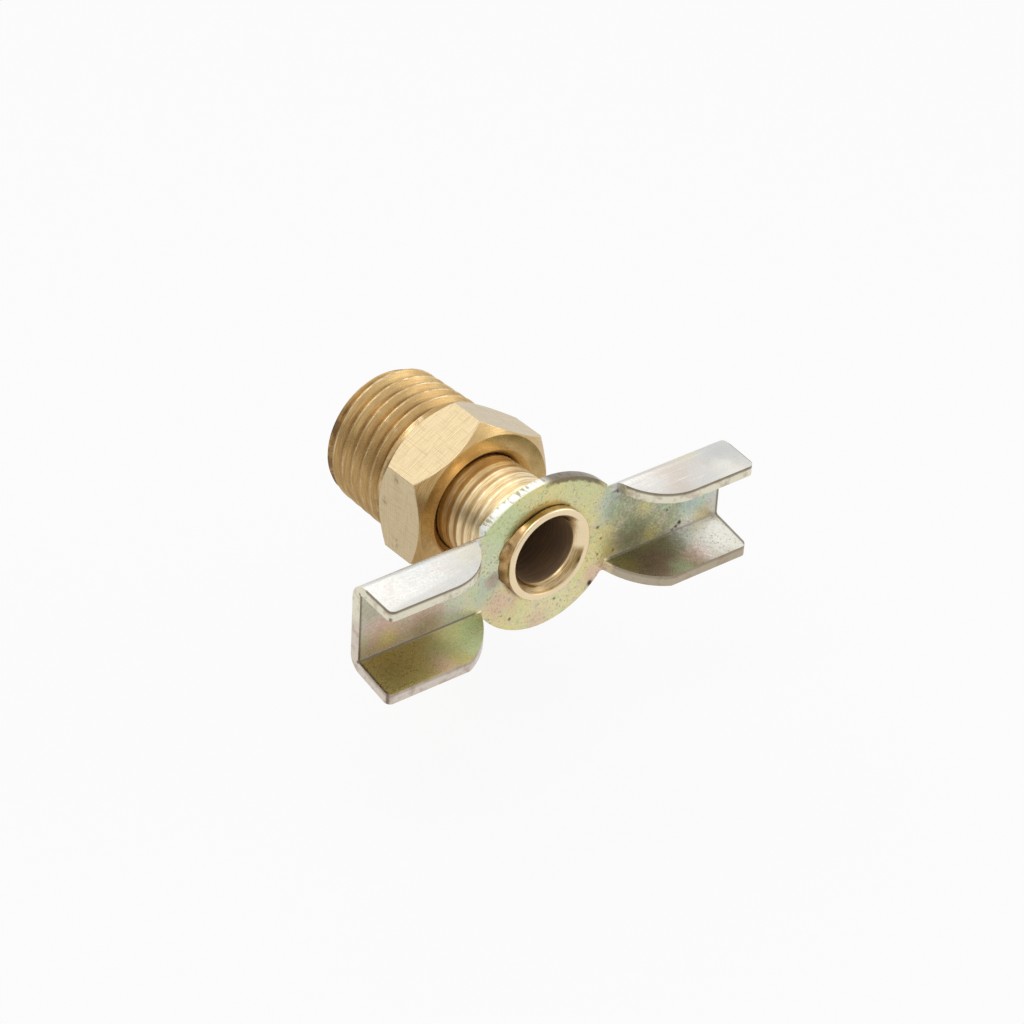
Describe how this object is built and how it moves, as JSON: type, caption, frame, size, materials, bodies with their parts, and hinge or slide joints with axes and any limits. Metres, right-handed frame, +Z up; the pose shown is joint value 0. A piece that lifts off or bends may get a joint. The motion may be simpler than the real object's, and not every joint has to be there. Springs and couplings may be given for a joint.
{
  "type": "drain cock",
  "caption": "Brass drain cock: tapered pipe thread and hexagon body, hollow screw that opens a cone seat, and a bent sheet-metal wing handle on the screw's nose.",
  "frame": {"origin": "on the axis at the large end of the pipe thread", "axes": "+X along the wings of the handle, +Y along the axis towards the tank, +Z up"},
  "size_m": [0.0402, 0.0277, 0.0166],
  "materials": {
    "brass_body": "turned, slightly dull",
    "brass_stem": "turned, slightly dull",
    "zinc_plate": "yellow zinc with colour bands",
    "seal_rubber": "matt black"
  },
  "bodies": {
    "body": {"valve_body": "brass_body"},
    "seal": {"seal_ring": "seal_rubber"},
    "screw": {"stem": "brass_stem", "wing_handle": "zinc_plate"}
  },
  "joints": [
    {"name": "screw_travel", "type": "slide", "parent": "body", "child": "seal", "axis": [0, -1, 0], "range_m": [0, 0.00238]},
    {"name": "screw_turn", "type": "hinge", "parent": "seal", "child": "screw", "pos_m": [0, -0.008, 0], "axis": [0, -1, 0], "range_deg": [0, 810]}
  ],
  "couplings": [
    {"joint": "screw_travel", "follows": "screw_turn", "m_per_rad": 0.00016844}
  ]
}
